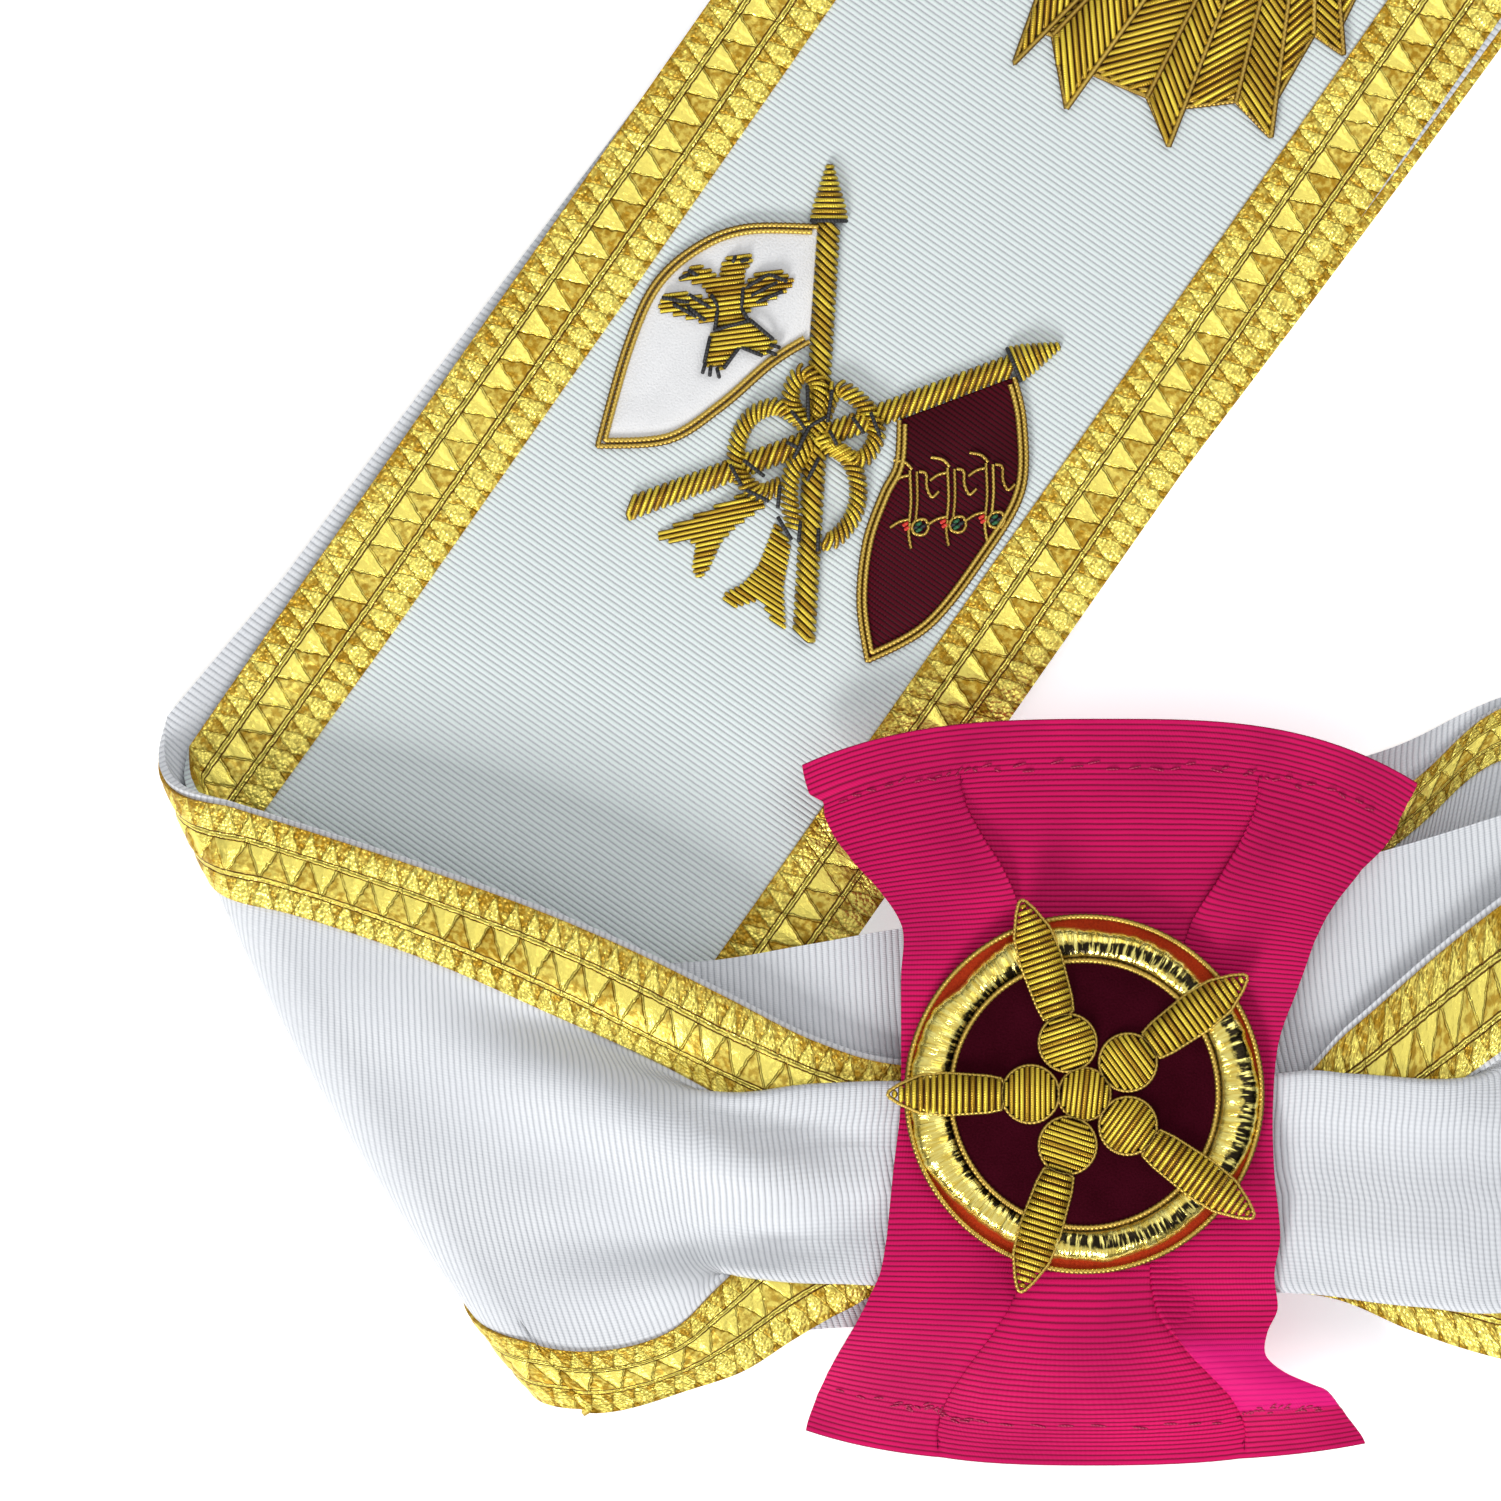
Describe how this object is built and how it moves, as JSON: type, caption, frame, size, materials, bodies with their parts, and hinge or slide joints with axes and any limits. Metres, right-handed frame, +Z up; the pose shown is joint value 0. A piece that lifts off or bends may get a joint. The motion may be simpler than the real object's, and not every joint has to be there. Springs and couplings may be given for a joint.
{
  "type": "order sash",
  "caption": "Flat-laid shoulder sash: white ribbed ribbon edged with gold lace, hip bow with crimson ribbon and five-armed bullion badge, embroidered flags and sunburst",
  "frame": {"origin": "on the table, in the middle of the laid sash's outline", "axes": "+Z up from the table; +Y towards the badge's top; the strand runs up and to the +X side"},
  "size_m": [0.5568, 0.779, 0.023],
  "materials": {
    "white_ribbon": "ribbed rayon ribbon",
    "gold_lace": "woven metal lace",
    "crimson_ribbon": "ribbed ribbon",
    "maroon_velvet": "velvet",
    "red_felt": "felt",
    "bullion": "coiled wire embroidery",
    "foil": "bright flat wire"
  },
  "bodies": {
    "root": {"front_ribbon": "white_ribbon", "back_ribbon": "white_ribbon", "flag_white": "white_ribbon", "front_lace_left": "gold_lace", "front_lace_right": "gold_lace", "back_lace_left": "gold_lace", "back_lace_right": "gold_lace", "loop_lace": "gold_lace", "cockade_ribbon": "crimson_ribbon", "badge_velvet": "maroon_velvet", "flag_maroon": "maroon_velvet", "badge_felt": "red_felt", "badge_ring": "foil", "badge_hub": "bullion", "badge_boss_1": "bullion", "badge_boss_2": "bullion", "badge_boss_3": "bullion", "badge_boss_4": "bullion", "badge_boss_5": "bullion", "badge_arm_1": "bullion", "badge_arm_2": "bullion", "badge_arm_3": "bullion", "badge_arm_4": "bullion", "badge_arm_5": "bullion", "flag_white_wire": "bullion", "flag_maroon_wire": "bullion", "eagle": "bullion", "staff_upright": "bullion", "staff_slant_upper": "bullion", "staff_slant_lower": "bullion", "finial_upright": "bullion", "finial_slant": "bullion", "knot_tail_left": "bullion", "knot_tail_right": "bullion", "knot": "bullion", "sunburst": "bullion", "sunburst_boss": "bullion"}
  },
  "joints": []
}
